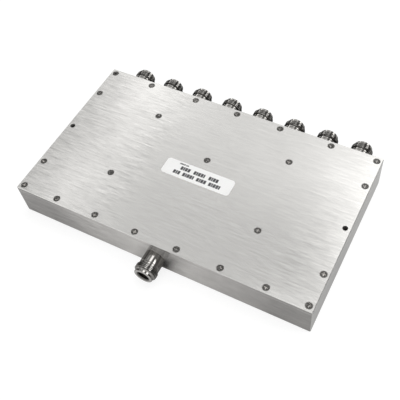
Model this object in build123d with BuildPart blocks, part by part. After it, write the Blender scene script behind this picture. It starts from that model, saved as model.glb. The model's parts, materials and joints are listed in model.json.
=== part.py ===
from build123d import *
import math
import os

# RF power splitter, one input and eight outputs. Millimetres, +Z up.
# The origin is on the underside, below the middle of the housing.
# X runs along the long side, the input jack faces -Y and the outputs face +Y.

os.makedirs("parts", exist_ok=True)

# Housing and cover
body_length = 222.0
body_width = 127.0
body_height = 27.5
cover_thickness = 3.0
wall = 8.0
cutter_radius = 4.0
outer_corner_radius = 0.6
edge_break = 0.3
joint_break = 0.15
fit = 0.03
running_clearance = 0.3

# Cover screws, countersunk, with a cross recess
screw_inset = 3.85
back_inner_screw_x = 34.8
back_outer_screw_x = 73.8
front_screw_pitch = 31.6
front_screw_count = 6
side_screw_y = 36.5
screw_radius = 1.25
screw_head_radius = 2.3
screw_head_land = 0.15
screw_head_angle = 90.0
screw_length = 6.0
screw_sunk = 0.1
screw_hole_clearance = 0.2
screw_tip_room = 1.0
screw_tip_chamfer = 0.3
recess_span = 2.6
recess_slot = 0.6
recess_depth = 1.1
recess_taper = 8.0

# Posts under the cover's inner screws
post_radius = 3.5
centre_post_y = 12.4
back_post_x = 52.8
back_post_y = 34.5
front_post_x = 57.0
front_post_y = -25.0

# Through holes that mount the unit
mount_hole_radius = 1.9
mount_hole_inset = 3.9

# Label
label_length = 53.0
label_width = 13.4
label_thickness = 0.15
label_corner_radius = 2.4
label_x = 0.6
label_y = -2.7

# Jacks, along their own axis from the wall's outer face outwards
output_count = 8
output_end_inset = 18.95
axis_drop = 1.45
spigot_radius = 6.0
barrel_radius = 7.15
barrel_length = 9.3
relief_radius = 6.7
relief_length = 0.7
thread_radius = 7.94
thread_length = 5.2
thread_chamfer = 0.5
rim_radius = 6.7
rim_length = 1.3
rim_round = 0.35
mouth_radius = 4.06
mouth_depth = 9.1
mouth_chamfer = 0.8
insulator_radius = 3.5
insulator_shoulder = 4.0
insulator_tail_radius = 2.3

# Centre contacts
contact_radius = 1.52
contact_sunk = 3.9
contact_shoulder = 2.0
socket_radius = 0.83
socket_depth = 5.0
socket_chamfer = 0.3
slot_width = 0.25
slot_length = 4.0
tail_radius = 0.65
tail_reach = 4.5
tail_flat = 0.45

# Circuit board
board_thickness = 1.3
board_edge_clearance = 0.4
copper_thickness = 0.1
line_width = 3.6
line_bend_radius = 2.4
input_lead = 10.0
output_lead = 6.0
arm_widths = (1.4, 2.0, 2.8)
arm_offset = 2.3
arm_bow = 3.95
run_offset = 5.0
run_lead = 4.0
pad_length = 1.6
pad_width = 1.8

# Isolation resistors
resistor_length = 3.2
resistor_width = 1.6
resistor_thickness = 0.6

# Board screws, pan head
board_screw_side_inset = 5.5
board_screw_end_inset = 8.5
board_screw_inner_x = 28.0
board_screw_front_inset = 20.5
board_screw_middle_y = 2.0
board_screw_length = 5.0
pan_head_radius = 2.2
pan_head_height = 1.5
pan_head_bevel = 0.5

# Levels and places that follow from the sizes above
rim_height = body_height - cover_thickness
axis_height = body_height / 2 - axis_drop
copper_top = axis_height - tail_flat
board_top = copper_top - copper_thickness
floor_top = board_top - board_thickness
inner_length = body_length - 2 * wall
inner_width = body_width - 2 * wall
front_inner_y = -inner_width / 2
back_inner_y = inner_width / 2
board_front_y = front_inner_y + board_edge_clearance
board_back_y = back_inner_y - board_edge_clearance
corner_screw_x = body_length / 2 - screw_inset
corner_screw_y = body_width / 2 - screw_inset
tapped_radius = screw_radius + fit
screw_grip = screw_length + screw_sunk - cover_thickness
tapped_depth = screw_grip + screw_tip_room
head_slope = math.tan(math.radians(screw_head_angle / 2))
screw_head_height = screw_head_land + (screw_head_radius - screw_radius) / head_slope
countersink_radius = screw_head_radius + (screw_head_land + screw_sunk) * head_slope + fit
mount_hole_x = body_length / 2 - mount_hole_inset
thread_start = barrel_length + relief_length
thread_end = thread_start + thread_length
nose_reach = thread_end + rim_length
reference_depth = nose_reach - mouth_depth
contact_tip = nose_reach - contact_sunk
output_pitch = (body_length - 2 * output_end_inset) / (output_count - 1)
board_screw_side_x = inner_length / 2 - board_screw_side_inset
board_screw_end_y = inner_width / 2 - board_screw_end_inset
board_screw_front_y = board_screw_front_inset - inner_width / 2

# The stages of splits share the depth of the pocket that the leads and runs leave
stage_count = output_count.bit_length() - 1
runs_length = stage_count * run_offset + (stage_count - 1) * run_lead
splits_length = inner_width - input_lead - output_lead - runs_length
section_length = splits_length / (stage_count * len(arm_widths))
stage_rise = len(arm_widths) * section_length + run_offset + run_lead


def mirrored(value):
    """The value on both sides of the middle."""
    return (-value, value)


def row(count, pitch):
    """Places of an even row about the middle."""
    return [(i - (count - 1) / 2) * pitch for i in range(count)]


# Places of the cover screws, round the rim and on the posts
rim_screws = [(0, corner_screw_y)]
rim_screws += [(x, corner_screw_y) for x in mirrored(back_inner_screw_x)]
rim_screws += [(x, corner_screw_y) for x in mirrored(back_outer_screw_x)]
rim_screws += [(x, -corner_screw_y) for x in row(front_screw_count, front_screw_pitch)]
rim_screws += [(x, y) for x in mirrored(corner_screw_x) for y in mirrored(corner_screw_y)]
rim_screws += [(x, y) for x in mirrored(corner_screw_x) for y in mirrored(side_screw_y)]
posts = [(0, centre_post_y)]
posts += [(x, back_post_y) for x in mirrored(back_post_x)]
posts += [(x, front_post_y) for x in mirrored(front_post_x)]
cover_screw_places = rim_screws + posts
mount_holes = [(x, 0) for x in mirrored(mount_hole_x)]

# Places of the board screws, along the short sides and between the splits
board_screw_places = [(x, y) for x in mirrored(board_screw_side_x)
                      for y in (-board_screw_end_y, 0, board_screw_end_y)]
board_screw_places += [(x, board_screw_front_y) for x in mirrored(board_screw_inner_x)]
board_screw_places += [(x, board_screw_middle_y) for x in mirrored(board_screw_inner_x)]

output_places = row(output_count, output_pitch)

# The tree of splits. Each stage has its start, the middles of the groups of outputs that it
# feeds, and the reach from there to the middle of each half group
stages = []
group = output_count
while group > 1:
    half_group = group // 2
    start = front_inner_y + input_lead + len(stages) * stage_rise
    centres = row(output_count // group, group * output_pitch)
    stages.append((start, centres, half_group * output_pitch / 2))
    group = half_group


def save(piece, name):
    """Labels a finished piece and writes it to its own file."""
    piece.part.label = name
    export_step(piece.part, f"parts/{name}.step")


# Housing: a block with a milled pocket, posts, tapped holes and a bore for each jack
with BuildPart() as housing:
    with BuildSketch(Plane.XY):
        RectangleRounded(body_length, body_width, outer_corner_radius)
    extrude(amount=rim_height)
    chamfer(housing.faces().sort_by(Axis.Z)[0].edges(), edge_break)
    chamfer(housing.faces().sort_by(Axis.Z)[-1].edges(), joint_break)
    with BuildSketch(Plane.XY.offset(rim_height)):
        RectangleRounded(inner_length, inner_width, cutter_radius)
    extrude(amount=floor_top - rim_height, mode=Mode.SUBTRACT)
    with BuildSketch(Plane.XY.offset(floor_top)):
        with Locations(*posts):
            Circle(post_radius)
    extrude(amount=rim_height - floor_top)
    for side, places in ((-1, [0]), (1, output_places)):
        with BuildSketch(Plane((0, side * body_width / 2, axis_height), (1, 0, 0), (0, side, 0))):
            with Locations(*[(x, 0) for x in places]):
                Circle(spigot_radius + fit)
        extrude(amount=-wall, mode=Mode.SUBTRACT)
    with Locations(*[(x, y, rim_height) for x, y in cover_screw_places]):
        Hole(tapped_radius, depth=tapped_depth)
    with Locations(*[(x, y, floor_top) for x, y in board_screw_places]):
        Hole(tapped_radius, depth=board_screw_length - board_thickness + screw_tip_room)
    with Locations(*[(x, y, rim_height) for x, y in mount_holes]):
        Hole(mount_hole_radius)
save(housing, "housing")

# Cover: a flat plate, flush with the housing, with countersunk screw holes
with BuildPart() as cover:
    with BuildSketch(Plane.XY.offset(rim_height)):
        RectangleRounded(body_length, body_width, outer_corner_radius)
    extrude(amount=cover_thickness)
    chamfer(cover.faces().sort_by(Axis.Z)[0].edges(), joint_break)
    chamfer(cover.faces().sort_by(Axis.Z)[-1].edges(), edge_break)
    with Locations(*[(x, y, body_height) for x, y in cover_screw_places]):
        CounterSinkHole(
            screw_radius + screw_hole_clearance,
            countersink_radius,
            counter_sink_angle=screw_head_angle,
        )
    with Locations(*[(x, y, body_height) for x, y in mount_holes]):
        Hole(mount_hole_radius)
save(cover, "cover")

# One cover screw, its head's top on the XY plane
with BuildPart() as cover_screw:
    with BuildSketch(Plane.XZ):
        with BuildLine():
            Polyline(
                (0, 0),
                (screw_head_radius, 0),
                (screw_head_radius, -screw_head_land),
                (screw_radius, -screw_head_height),
                (screw_radius, screw_tip_chamfer - screw_length),
                (screw_radius - screw_tip_chamfer, -screw_length),
                (0, -screw_length),
                close=True,
            )
        make_face()
    revolve(axis=Axis.Z)
    with BuildSketch(Plane.XY):
        Rectangle(recess_span, recess_slot)
        Rectangle(recess_slot, recess_span)
    extrude(amount=-recess_depth, taper=recess_taper, mode=Mode.SUBTRACT)

with BuildPart() as cover_screws:
    with Locations(*[(x, y, body_height - screw_sunk) for x, y in cover_screw_places]):
        add(cover_screw.part)
save(cover_screws, "cover_screws")

# Label: a thin plain plate stuck to the middle of the cover
with BuildPart() as label:
    with BuildSketch(Plane.XY.offset(body_height)):
        with Locations((label_x, label_y)):
            RectangleRounded(label_length, label_width, label_corner_radius)
    extrude(amount=label_thickness)
save(label, "label")

# Divider board: one laminate on the floor, open round the posts and at its screws
with BuildPart() as divider_board:
    with BuildSketch(Plane.XY.offset(floor_top)):
        RectangleRounded(
            inner_length - 2 * board_edge_clearance,
            inner_width - 2 * board_edge_clearance,
            cutter_radius,
        )
        with Locations(*posts):
            Circle(post_radius + running_clearance, mode=Mode.SUBTRACT)
        with Locations(*board_screw_places):
            Circle(screw_radius + screw_hole_clearance, mode=Mode.SUBTRACT)
    extrude(amount=board_thickness)
save(divider_board, "divider_board")


def draw_line(*points):
    """A copper line of full width through the points, with rounded bends."""
    with BuildLine() as path:
        if len(points) > 2:
            FilletPolyline(*points, radius=line_bend_radius)
        else:
            Polyline(*points)
    trace(path.line, line_width=line_width)


def draw_split(x, start):
    """A two-way split: a bar, then two arms that bow out and meet again at each resistor."""
    with Locations((x, start)):
        Rectangle(2 * arm_offset + arm_widths[0], arm_widths[0])
    for index, width in enumerate(arm_widths):
        foot = start + index * section_length
        head = foot + section_length
        for side in (-1, 1):
            centre = x + side * arm_offset
            with BuildLine() as arm:
                ThreePointArc((centre, foot), (centre + side * arm_bow, (foot + head) / 2), (centre, head))
            trace(arm.line, line_width=width)
            with Locations((centre, head)):
                Rectangle(pad_length + width / 2, pad_width)


# Divider traces: the etched network, from the input along the tree to the outputs
with BuildPart() as divider_traces:
    with BuildSketch(Plane.XY.offset(board_top)):
        draw_line((0, board_front_y), (0, stages[0][0]))
        for index, (start, centres, reach) in enumerate(stages):
            last = index == len(stages) - 1
            end = start + len(arm_widths) * section_length
            run = end + run_offset
            target = board_back_y if last else stages[index + 1][0]
            for x in centres:
                draw_split(x, start)
                for side in (-1, 1):
                    foot_x = x + side * arm_offset
                    next_x = x + side * reach
                    draw_line((foot_x, end), (foot_x, run), (next_x, run), (next_x, target))
    extrude(amount=copper_thickness)
save(divider_traces, "divider_traces")

# Isolation resistors: a chip across the two arms at the end of each section
resistor_number = 0
for start, centres, reach in stages:
    for x in centres:
        for index in range(len(arm_widths)):
            resistor_number += 1
            with BuildPart() as isolation_resistor:
                with BuildSketch(Plane.XY.offset(copper_top)):
                    with Locations((x, start + (index + 1) * section_length)):
                        Rectangle(resistor_length, resistor_width)
                extrude(amount=resistor_thickness)
            save(isolation_resistor, f"isolation_resistor_{resistor_number:02d}")

# One board screw, the seat of its pan head on the XY plane
with BuildPart() as board_screw:
    with BuildSketch(Plane.XY):
        Circle(pan_head_radius)
    extrude(amount=pan_head_height)
    chamfer(board_screw.edges().sort_by(Axis.Z)[-1], pan_head_bevel)
    with BuildSketch(Plane.XY):
        Circle(screw_radius)
    extrude(amount=-board_screw_length)
    chamfer(board_screw.edges().sort_by(Axis.Z)[0], screw_tip_chamfer)
    with BuildSketch(Plane.XY.offset(pan_head_height)):
        Rectangle(recess_span, recess_slot)
        Rectangle(recess_slot, recess_span)
    extrude(amount=-recess_depth, taper=recess_taper, mode=Mode.SUBTRACT)

with BuildPart() as board_screws:
    with Locations(*[(x, y, board_top) for x, y in board_screw_places]):
        add(board_screw.part)
save(board_screws, "board_screws")


def make_jack(name, x, side):
    """Makes the three pieces of a jack on the front wall (side -1) or the back wall (side 1)."""
    face = (x, side * body_width / 2, axis_height)
    section_plane = Plane(face, (0, side, 0), (side, 0, 0))
    axis = Axis(face, (0, side, 0))

    # Body: a spigot in the wall, a smooth barrel, a relief groove, the threaded length and a rim
    with BuildPart() as body:
        with BuildSketch(section_plane):
            with BuildLine():
                Polyline(
                    (-wall, insulator_tail_radius + fit),
                    (-wall, spigot_radius),
                    (0, spigot_radius),
                    (0, barrel_radius),
                    (barrel_length, barrel_radius),
                    (barrel_length, relief_radius),
                    (thread_start, relief_radius),
                    (thread_start, thread_radius - thread_chamfer),
                    (thread_start + thread_chamfer, thread_radius),
                    (thread_end - (thread_radius - rim_radius), thread_radius),
                    (thread_end, rim_radius),
                    (nose_reach - rim_round, rim_radius),
                    (nose_reach, rim_radius - rim_round),
                    (nose_reach, mouth_radius + mouth_chamfer),
                    (nose_reach - mouth_chamfer, mouth_radius),
                    (reference_depth, mouth_radius),
                    (reference_depth, insulator_radius + fit),
                    (-insulator_shoulder, insulator_radius + fit),
                    (-insulator_shoulder, insulator_tail_radius + fit),
                    close=True,
                )
            make_face()
        revolve(axis=axis)
    save(body, f"{name}_body")

    # Insulator: a stepped bush behind the reference plane
    with BuildPart() as insulator:
        with BuildSketch(section_plane):
            with BuildLine():
                Polyline(
                    (reference_depth, contact_radius + fit),
                    (reference_depth, insulator_radius),
                    (-insulator_shoulder, insulator_radius),
                    (-insulator_shoulder, insulator_tail_radius),
                    (-wall, insulator_tail_radius),
                    (-wall, tail_radius + fit),
                    (-contact_shoulder, tail_radius + fit),
                    (-contact_shoulder, contact_radius + fit),
                    close=True,
                )
            make_face()
        revolve(axis=axis)
    save(insulator, f"{name}_insulator")

    # Contact: a slotted socket in front, a tail behind with a flat that lies on the copper
    with BuildPart() as contact:
        with BuildSketch(section_plane):
            with BuildLine():
                Polyline(
                    (contact_tip, socket_radius + socket_chamfer),
                    (contact_tip, contact_radius),
                    (-contact_shoulder, contact_radius),
                    (-contact_shoulder, tail_radius),
                    (-wall - tail_reach, tail_radius),
                    (-wall - tail_reach, 0),
                    (contact_tip - socket_depth, 0),
                    (contact_tip - socket_depth, socket_radius),
                    (contact_tip - socket_chamfer, socket_radius),
                    close=True,
                )
            make_face()
        revolve(axis=axis)
        tip = (x, side * (body_width / 2 + contact_tip), axis_height)
        with BuildSketch(Plane(tip, (1, 0, 0), (0, side, 0))):
            Rectangle(2 * mouth_radius, slot_width)
            Rectangle(slot_width, 2 * mouth_radius)
        extrude(amount=-slot_length, mode=Mode.SUBTRACT)
        with BuildSketch(Plane.XY.offset(copper_top)):
            with Locations((x, side * (inner_width - tail_reach) / 2)):
                Rectangle(2 * contact_radius, tail_reach)
        extrude(amount=-tail_radius, mode=Mode.SUBTRACT)
    save(contact, f"{name}_contact")


make_jack("input_jack", 0, -1)
for number, place in enumerate(output_places, start=1):
    make_jack(f"output_jack_{number}", place, 1)
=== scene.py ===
"""Looks of a coaxial power splitter: brushed aluminium box, nickel plated jacks, printed label.

Lengths are in metres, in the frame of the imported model: +Z is up out of the cover, the input jack
faces -Y and the output jacks face +Y.
"""
import json
import logging
import math
from dataclasses import dataclass, field
from enum import Enum
from typing import Iterable, Sequence, Union

import bmesh
import bpy
from mathutils import Matrix, Vector


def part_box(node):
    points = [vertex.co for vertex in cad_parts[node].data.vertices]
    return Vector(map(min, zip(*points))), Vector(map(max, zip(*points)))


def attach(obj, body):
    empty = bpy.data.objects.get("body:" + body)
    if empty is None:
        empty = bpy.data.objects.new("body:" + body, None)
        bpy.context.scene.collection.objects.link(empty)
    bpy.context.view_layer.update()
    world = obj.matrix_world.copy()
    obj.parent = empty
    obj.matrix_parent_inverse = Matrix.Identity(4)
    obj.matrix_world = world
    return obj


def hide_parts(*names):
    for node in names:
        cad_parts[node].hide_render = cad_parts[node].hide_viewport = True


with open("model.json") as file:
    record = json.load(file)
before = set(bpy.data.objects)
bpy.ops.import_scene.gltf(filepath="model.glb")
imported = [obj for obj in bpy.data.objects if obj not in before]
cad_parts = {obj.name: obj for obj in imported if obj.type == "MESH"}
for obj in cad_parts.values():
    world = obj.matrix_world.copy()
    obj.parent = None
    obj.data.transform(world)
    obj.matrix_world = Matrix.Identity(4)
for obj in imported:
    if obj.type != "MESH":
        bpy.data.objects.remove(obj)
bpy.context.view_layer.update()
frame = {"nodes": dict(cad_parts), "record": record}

log = logging.getLogger("power_splitter")

MM = 0.001
ROOT = "root"
BRIGHTNESS = "brightness"
# A share that grows over a span of values, and one that shrinks.
RISING = (0.0, 1.0)
FALLING = (1.0, 0.0)
# Most of a soft noise lies between these two values.
NOISE_CORE = (0.3, 0.7)
# A part of a normal above this counts as facing that way.
FACING = 0.5

Colour = tuple[float, float, float]
Triple = tuple[float, float, float]
Point = tuple[float, float]
Tree = bpy.types.NodeTree
Socket = bpy.types.NodeSocket
Source = Union[Socket, float, tuple]
Material = bpy.types.Material
Finishes = dict[str, Material]
Piece = bpy.types.Object

WHITE: Colour = (1.0, 1.0, 1.0)


class Side(Enum):
    """The wall that a jack stands on, as the sign of its way out along Y."""

    FRONT = -1
    BACK = 1


class Sum(Enum):
    """Steps of arithmetic on values that change over a surface."""

    ADD = "ADD"
    SUBTRACT = "SUBTRACT"
    MULTIPLY = "MULTIPLY"
    FLOOR = "FLOOR"
    SINE = "SINE"
    ABSOLUTE = "ABSOLUTE"
    GREATER = "GREATER_THAN"
    LARGEST = "MAXIMUM"


class Way(Enum):
    """The three directions of a vector, in the order of its sockets."""

    X = 0
    Y = 1
    Z = 2


class Graph:
    """Adds and joins the nodes of one node tree."""

    def __init__(self, tree: Tree) -> None:
        """Takes the tree that the nodes go into."""
        self.tree = tree

    def add(self, kind: str, **settings: object) -> bpy.types.Node:
        """Adds a node.

        Args:
            kind: the node's class name.
            settings: the node's properties by name.

        Returns:
            The new node.
        """
        node = self.tree.nodes.new(kind)
        for name, value in settings.items():
            setattr(node, name, value)
        return node

    def feed(self, socket: Socket, source: Source) -> None:
        """Gives a socket another node's output, or a fixed value.

        Args:
            socket: the input that is fed.
            source: an output socket, a number, a vector or a colour.
        """
        if isinstance(source, Socket):
            self.tree.links.new(source, socket)
        elif socket.type == "RGBA":
            socket.default_value = (*source, 1.0)
        else:
            socket.default_value = source

    def sum(self, step: Sum, first: Source, second: Source = 0.0) -> Socket:
        """One step of arithmetic.

        Args:
            step: what is done.
            first: the first value.
            second: the second value, where the step has two.

        Returns:
            The result's socket.
        """
        node = self.add("ShaderNodeMath", operation=step.value)
        self.feed(node.inputs[0], first)
        self.feed(node.inputs[1], second)
        return node.outputs[0]

    def plus(self, first: Source, second: Source) -> Socket:
        """Both values together."""
        return self.sum(Sum.ADD, first, second)

    def less(self, first: Source, second: Source) -> Socket:
        """The first value without the second."""
        return self.sum(Sum.SUBTRACT, first, second)

    def above(self, value: Source, limit: float) -> Socket:
        """One where the value is above the limit, and otherwise nothing."""
        return self.sum(Sum.GREATER, value, limit)

    def times(self, first: Source, *factors: Source) -> Socket:
        """The product of all the values.

        Args:
            first: the first value.
            factors: the others.

        Returns:
            The product's socket.
        """
        for factor in factors:
            first = self.sum(Sum.MULTIPLY, first, factor)
        return first

    def largest(self, first: Source, *others: Source) -> Socket:
        """The largest of the values.

        Args:
            first: the first value.
            others: the others.

        Returns:
            The largest value's socket.
        """
        for other in others:
            first = self.sum(Sum.LARGEST, first, other)
        return first

    def spread(self, value: Source, span: Point, onto: Point = RISING) -> Socket:
        """Takes a span of values onto another, and holds what lies outside at its ends.

        Args:
            value: the value that changes over the surface.
            span: its lower and upper end.
            onto: what the two ends become.

        Returns:
            The result's socket.
        """
        node = self.add("ShaderNodeMapRange", clamp=True)
        ends = zip(("From Min", "From Max", "To Min", "To Max"), (*span, *onto))
        for name, source in (("Value", value), *ends):
            self.feed(node.inputs[name], source)
        return node.outputs["Result"]

    def mix(self, share: Source, first: Source, second: Source) -> Socket:
        """Mixes two colours.

        Args:
            share: how much of the second colour shows, from 0 to 1.
            first: the colour at 0.
            second: the colour at 1.

        Returns:
            The mixed colour's socket.
        """
        node = self.add("ShaderNodeMix", data_type="RGBA")
        for index, source in ((0, share), (6, first), (7, second)):
            self.feed(node.inputs[index], source)
        return node.outputs[2]

    def mix_light(self, share: Source, first: Socket, second: Socket) -> Socket:
        """Mixes two shaders.

        Args:
            share: how much of the second shader shows, from 0 to 1.
            first: the shader at 0.
            second: the shader at 1.

        Returns:
            The mixed shader's socket.
        """
        node = self.add("ShaderNodeMixShader")
        for socket, source in zip(node.inputs, (share, first, second)):
            self.feed(socket, source)
        return node.outputs[0]

    def shade(self, colour: Source, amount: Source) -> Socket:
        """Scales a colour by a value that changes over the surface.

        Args:
            colour: the colour.
            amount: what it is multiplied by.

        Returns:
            The scaled colour's socket.
        """
        node = self.add("ShaderNodeVectorMath", operation="SCALE")
        self.feed(node.inputs[0], colour)
        self.feed(node.inputs["Scale"], amount)
        return node.outputs[0]

    def noise(self, place: Source, scale: Source = 1.0, detail: float = 2.0) -> Socket:
        """Soft noise.

        Args:
            place: the vector that it is read at.
            scale: how often it repeats in each unit of the vector.
            detail: how many finer layers it has.

        Returns:
            The noise's socket, around 0.5.
        """
        node = self.add("ShaderNodeTexNoise")
        for name, source in (("Vector", place), ("Scale", scale), ("Detail", detail)):
            self.feed(node.inputs[name], source)
        return node.outputs["Fac"]

    def places(self) -> Socket:
        """The place on the piece, in metres."""
        return self.add("ShaderNodeTexCoord").outputs["Object"]

    def share_of_box(self) -> Socket:
        """The place on the piece as a share of its box."""
        return self.add("ShaderNodeTexCoord").outputs["Generated"]

    def facing(self) -> Socket:
        """The surface's own normal."""
        return self.add("ShaderNodeNewGeometry").outputs["Normal"]

    def part(self, vector: Socket, way: Way) -> Socket:
        """Takes one part of a vector.

        Args:
            vector: the vector.
            way: which part.

        Returns:
            The part's socket.
        """
        node = self.add("ShaderNodeSeparateXYZ")
        self.feed(node.inputs[0], vector)
        return node.outputs[way.value]

    def size(self, vector: Socket, way: Way) -> Socket:
        """One part of a vector without its sign."""
        return self.sum(Sum.ABSOLUTE, self.part(vector, way))

    def distance(self, vector: Socket, way: Way, middle: float) -> Socket:
        """How far one part of a vector is from a fixed value."""
        return self.sum(Sum.ABSOLUTE, self.less(self.part(vector, way), middle))

    def vector(self, x: Source, y: Source, z: Source) -> Socket:
        """Joins three values.

        Args:
            x: the first part.
            y: the second part.
            z: the third part.

        Returns:
            The vector's socket.
        """
        node = self.add("ShaderNodeCombineXYZ")
        for socket, source in zip(node.inputs, (x, y, z)):
            self.feed(socket, source)
        return node.outputs[0]

    def radius(self, place: Socket) -> Socket:
        """Measures how far a place is from the piece's own Z axis.

        Args:
            place: the place on the piece.

        Returns:
            The distance's socket.
        """
        flat = self.add("ShaderNodeVectorMath", operation="MULTIPLY")
        self.feed(flat.inputs[0], place)
        self.feed(flat.inputs[1], (1.0, 1.0, 0.0))
        length = self.add("ShaderNodeVectorMath", operation="LENGTH")
        self.feed(length.inputs[0], flat.outputs[0])
        return length.outputs["Value"]

    def place_effect(self, tree: Tree, **values: float) -> bpy.types.NodeOutputs:
        """Places a shared effect with its own values.

        Args:
            tree: the effect's node group.
            values: its inputs by name.

        Returns:
            Its outputs.
        """
        node = self.add("ShaderNodeGroup", node_tree=tree)
        for name, value in values.items():
            node.inputs[name].default_value = value
        return node.outputs

    def effect(self, tree: Tree, **values: float) -> Socket:
        """Places a shared effect and takes its first output."""
        return self.place_effect(tree, **values)[0]

    def bump(self, height: Socket, depth: float) -> Socket:
        """The normal of a surface with fine relief.

        Args:
            height: the relief, from 0 to 1.
            depth: how deep the whole relief is, in metres.

        Returns:
            The normal's socket.
        """
        node = self.add("ShaderNodeBump")
        for name, source in (("Height", height), ("Distance", depth), ("Strength", 1.0)):
            self.feed(node.inputs[name], source)
        return node.outputs["Normal"]


class SharedEffect:
    """A shader node group under construction, with named inputs and outputs."""

    def __init__(self, name: str, inputs: dict[str, float], *outputs: str) -> None:
        """Makes the group and its sockets.

        Args:
            name: the group's name.
            inputs: its inputs and their usual values.
            outputs: its outputs.
        """
        self.tree = bpy.data.node_groups.new(name, "ShaderNodeTree")
        for label, usual in inputs.items():
            self.add_socket(label, "INPUT").default_value = usual
        for label in outputs:
            self.add_socket(label, "OUTPUT")
        self.graph = Graph(self.tree)
        self.given = self.graph.add("NodeGroupInput").outputs

    def add_socket(self, name: str, way: str) -> bpy.types.NodeTreeInterfaceSocket:
        """Adds a number as an input or an output."""
        sockets = self.tree.interface
        return sockets.new_socket(name=name, in_out=way, socket_type="NodeSocketFloat")

    def finish(self, *values: Socket) -> Tree:
        """Feeds the outputs.

        Args:
            values: what each output gives, in order.

        Returns:
            The finished group.
        """
        result = self.graph.add("NodeGroupOutput").inputs
        for socket, value in zip(result, values):
            self.graph.feed(socket, value)
        return self.tree


@dataclass(frozen=True)
class Brushing:
    """Fine straight scratches along the sides' length, or along Y on the two short sides.

    Each scratch lies in a row of its own, so it stays straight however short it is.
    """

    across: float = 1500.0
    along: float = 40.0
    layers: Point = (1.0, 0.5)
    row_step: float = 5.37
    detail: float = 3.0
    bands_along: float = 6.0
    bands_across: float = 160.0

    def build(self) -> Tree:
        """Makes the group.

        Returns:
            The group, with inputs Across and Along in lines for each metre, and outputs Streaks
            and Bands.
        """
        usual = {"Across": self.across, "Along": self.along}
        effect = SharedEffect("brushing", usual, "Streaks", "Bands")
        graph = effect.graph
        place = graph.places()
        x, y, z = (graph.part(place, way) for way in Way)
        turned = graph.above(graph.size(graph.facing(), Way.X), FACING)
        straight = graph.less(1.0, turned)
        run = graph.plus(graph.times(x, straight), graph.times(y, turned))
        level = graph.plus(graph.times(y, straight), graph.times(x, turned))
        noises = []
        for layer in self.layers:
            lines = [graph.times(way, effect.given["Across"], layer) for way in (level, z)]
            rows = [graph.times(graph.sum(Sum.FLOOR, line), self.row_step) for line in lines]
            length = graph.times(run, effect.given["Along"], layer)
            noises.append(graph.noise(graph.vector(length, *rows), detail=self.detail))
        streaks = graph.times(graph.plus(*noises), 1.0 / len(noises))
        scales = (self.bands_along, self.bands_across, self.bands_across)
        cloud = [graph.times(way, scale) for way, scale in zip((run, level, z), scales)]
        return effect.finish(streaks, graph.noise(graph.vector(*cloud)))


@dataclass(frozen=True)
class EdgeWear:
    """Edges rubbed bright, unevenly."""

    reach: float = 0.4 * MM
    samples: int = 6
    lean_cosines: Point = (0.995, 0.85)
    patch_scale: float = 260.0
    patch_detail: float = 3.0
    patch_span: Point = (0.38, 0.62)
    patch_wear: Point = (0.25, 1.0)

    def build(self) -> Tree:
        """Makes the group.

        Returns:
            The group, with input Reach in metres and output Wear.
        """
        effect = SharedEffect("edge_wear", {"Reach": self.reach}, "Wear")
        graph = effect.graph
        rounded = graph.add("ShaderNodeBevel", samples=self.samples)
        graph.feed(rounded.inputs["Radius"], effect.given["Reach"])
        agree = graph.add("ShaderNodeVectorMath", operation="DOT_PRODUCT")
        graph.feed(agree.inputs[0], rounded.outputs[0])
        graph.feed(agree.inputs[1], graph.facing())
        edge = graph.spread(agree.outputs["Value"], self.lean_cosines)
        patches = graph.noise(graph.places(), self.patch_scale, self.patch_detail)
        return effect.finish(
            graph.times(edge, graph.spread(patches, self.patch_span, self.patch_wear))
        )


@dataclass(frozen=True)
class Handling:
    """Faint cloudy marks of handling."""

    scale: float = 22.0
    detail: float = 4.0
    span: Point = (0.42, 0.68)

    def build(self) -> Tree:
        """Makes the group.

        Returns:
            The group, with input Scale in marks for each metre and output Marks.
        """
        effect = SharedEffect("handling", {"Scale": self.scale}, "Marks")
        graph = effect.graph
        cloud = graph.noise(graph.places(), effect.given["Scale"], self.detail)
        return effect.finish(graph.spread(cloud, self.span))


@dataclass(frozen=True)
class Turning:
    """Fine rings left by turning, about the piece's own Z axis."""

    rings: float = 2600.0

    def build(self) -> Tree:
        """Makes the group.

        Returns:
            The group, with input Rings in rings for each metre and output Relief.
        """
        effect = SharedEffect("turning", {"Rings": self.rings}, "Relief")
        graph = effect.graph
        place = graph.places()
        feed = graph.plus(graph.radius(place), graph.part(place, Way.Z))
        ring = graph.times(feed, effect.given["Rings"])
        return effect.finish(graph.noise(graph.vector(ring, 0.0, 0.0)))


@dataclass(frozen=True)
class GlassCloth:
    """The plain weave of the glass in a laminate."""

    threads: float = 1800.0

    def build(self) -> Tree:
        """Makes the group.

        Returns:
            The group, with input Threads in threads for each metre and output Weave.
        """
        effect = SharedEffect("glass_cloth", {"Threads": self.threads}, "Weave")
        graph = effect.graph
        place = graph.places()
        waves = []
        for way in (Way.X, Way.Y):
            phase = graph.times(graph.part(place, way), effect.given["Threads"], math.pi)
            waves.append(graph.sum(Sum.SINE, phase))
        return effect.finish(graph.spread(graph.times(*waves), (-1.0, 1.0)))


@dataclass(frozen=True)
class Effects:
    """The effects that the finishes share."""

    brushing: Tree = field(default_factory=Brushing().build)
    edge_wear: Tree = field(default_factory=EdgeWear().build)
    handling: Tree = field(default_factory=Handling().build)
    turning: Tree = field(default_factory=Turning().build)
    glass_cloth: Tree = field(default_factory=GlassCloth().build)


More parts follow.
